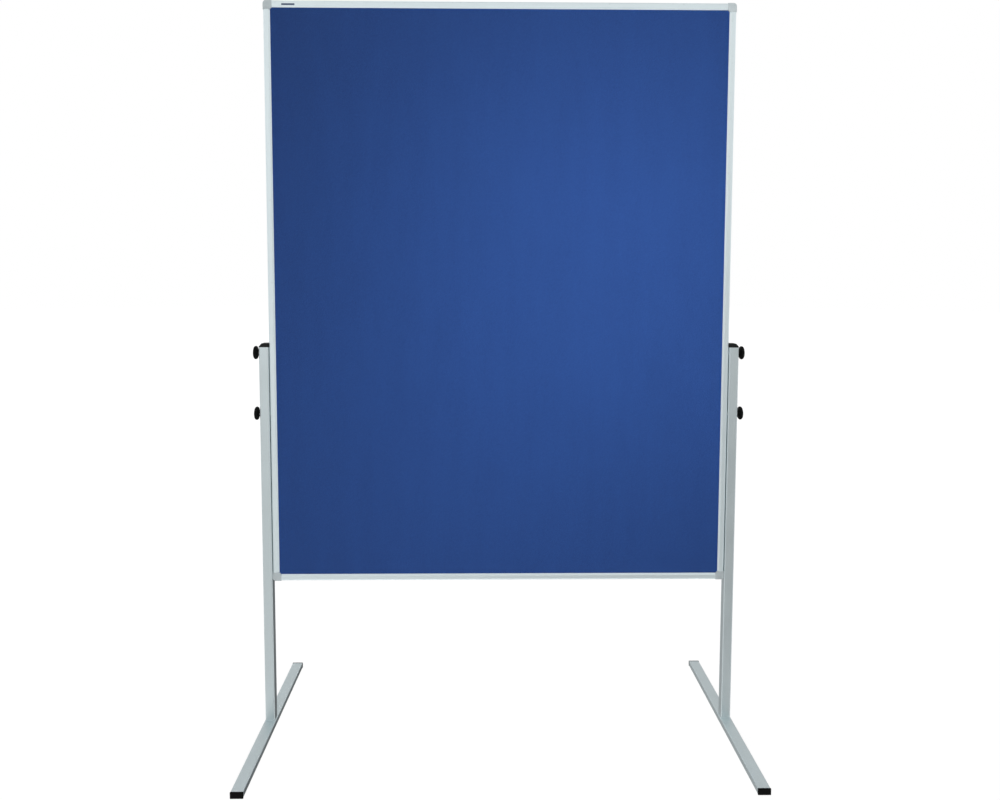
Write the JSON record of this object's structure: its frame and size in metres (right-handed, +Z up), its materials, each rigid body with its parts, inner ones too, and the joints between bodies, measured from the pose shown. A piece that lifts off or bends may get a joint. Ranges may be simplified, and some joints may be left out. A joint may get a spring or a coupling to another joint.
{
  "type": "free-standing pin board",
  "caption": "Free-standing pin board: blue felt panel in an aluminium frame with plastic corners, clamped by black knobs between two T-shaped stands.",
  "frame": {"origin": "on the floor, midway between the two stands and under the middle of the board", "axes": "+X to the right seen from the front, +Y to the back, +Z up"},
  "size_m": [1.2812, 0.6, 1.9004],
  "materials": {
    "frame_metal": "satin",
    "corner_plastic": "satin",
    "core": "matte",
    "felt": "matte",
    "badge": "satin",
    "stand_metal": "satin",
    "black_plastic": "satin",
    "steel": "satin",
    "white_nylon": "matte"
  },
  "bodies": {
    "stand": {"upright_left": "stand_metal", "upright_cap_left": "black_plastic", "runner_left": "stand_metal", "runner_cap_left_front": "black_plastic", "runner_cap_left_back": "black_plastic", "foot_insert_left": "steel", "foot_washer_left": "steel", "foot_bolt_left": "steel", "slot_nut_left_upper": "steel", "spacer_left_upper": "white_nylon", "slot_nut_left_lower": "steel", "spacer_left_lower": "white_nylon", "upright_right": "stand_metal", "upright_cap_right": "black_plastic", "runner_right": "stand_metal", "runner_cap_right_front": "black_plastic", "runner_cap_right_back": "black_plastic", "foot_insert_right": "steel", "foot_washer_right": "steel", "foot_bolt_right": "steel", "slot_nut_right_upper": "steel", "spacer_right_upper": "white_nylon", "slot_nut_right_lower": "steel", "spacer_right_lower": "white_nylon"},
    "board": {"frame_left": "frame_metal", "frame_right": "frame_metal", "frame_bottom": "frame_metal", "frame_top": "frame_metal", "corner_bottom_left": "corner_plastic", "corner_bottom_right": "corner_plastic", "corner_top_left": "corner_plastic", "corner_top_right": "corner_plastic", "panel_core": "core", "felt_front": "felt", "felt_back": "felt", "blank_badge": "badge"},
    "clamp_washer_left_upper": {"washer_left_upper": "steel"},
    "clamp_knob_left_upper": {"knob_left_upper": "black_plastic", "knob_stud_left_upper": "steel"},
    "clamp_washer_left_lower": {"washer_left_lower": "steel"},
    "clamp_knob_left_lower": {"knob_left_lower": "black_plastic", "knob_stud_left_lower": "steel"},
    "clamp_washer_right_upper": {"washer_right_upper": "steel"},
    "clamp_knob_right_upper": {"knob_right_upper": "black_plastic", "knob_stud_right_upper": "steel"},
    "clamp_washer_right_lower": {"washer_right_lower": "steel"},
    "clamp_knob_right_lower": {"knob_right_lower": "black_plastic", "knob_stud_right_lower": "steel"}
  },
  "joints": [
    {"name": "board_height", "type": "slide", "parent": "stand", "child": "board", "axis": [0, 0, 1], "range_m": [-0.38, 0.38]},
    {"name": "clamp_back_left_upper", "type": "slide", "parent": "stand", "child": "clamp_washer_left_upper", "axis": [-1, 0, 0], "range_m": [0, 0.002]},
    {"name": "knob_turn_left_upper", "type": "hinge", "parent": "clamp_washer_left_upper", "child": "clamp_knob_left_upper", "pos_m": [-0.6276, 0, 1.007], "axis": [-1, 0, 0], "range_deg": [0, 720]},
    {"name": "clamp_back_left_lower", "type": "slide", "parent": "stand", "child": "clamp_washer_left_lower", "axis": [-1, 0, 0], "range_m": [0, 0.002]},
    {"name": "knob_turn_left_lower", "type": "hinge", "parent": "clamp_washer_left_lower", "child": "clamp_knob_left_lower", "pos_m": [-0.6276, 0, 0.847], "axis": [-1, 0, 0], "range_deg": [0, 720]},
    {"name": "clamp_back_right_upper", "type": "slide", "parent": "stand", "child": "clamp_washer_right_upper", "axis": [1, 0, 0], "range_m": [0, 0.002]},
    {"name": "knob_turn_right_upper", "type": "hinge", "parent": "clamp_washer_right_upper", "child": "clamp_knob_right_upper", "pos_m": [0.6276, 0, 1.007], "axis": [1, 0, 0], "range_deg": [0, 720]},
    {"name": "clamp_back_right_lower", "type": "slide", "parent": "stand", "child": "clamp_washer_right_lower", "axis": [1, 0, 0], "range_m": [0, 0.002]},
    {"name": "knob_turn_right_lower", "type": "hinge", "parent": "clamp_washer_right_lower", "child": "clamp_knob_right_lower", "pos_m": [0.6276, 0, 0.847], "axis": [1, 0, 0], "range_deg": [0, 720]}
  ],
  "couplings": [
    {"joint": "knob_turn_left_upper", "follows": "clamp_back_left_upper", "rad_per_m": 6283.2},
    {"joint": "knob_turn_left_lower", "follows": "clamp_back_left_lower", "rad_per_m": 6283.2},
    {"joint": "knob_turn_right_upper", "follows": "clamp_back_right_upper", "rad_per_m": 6283.2},
    {"joint": "knob_turn_right_lower", "follows": "clamp_back_right_lower", "rad_per_m": 6283.2}
  ]
}
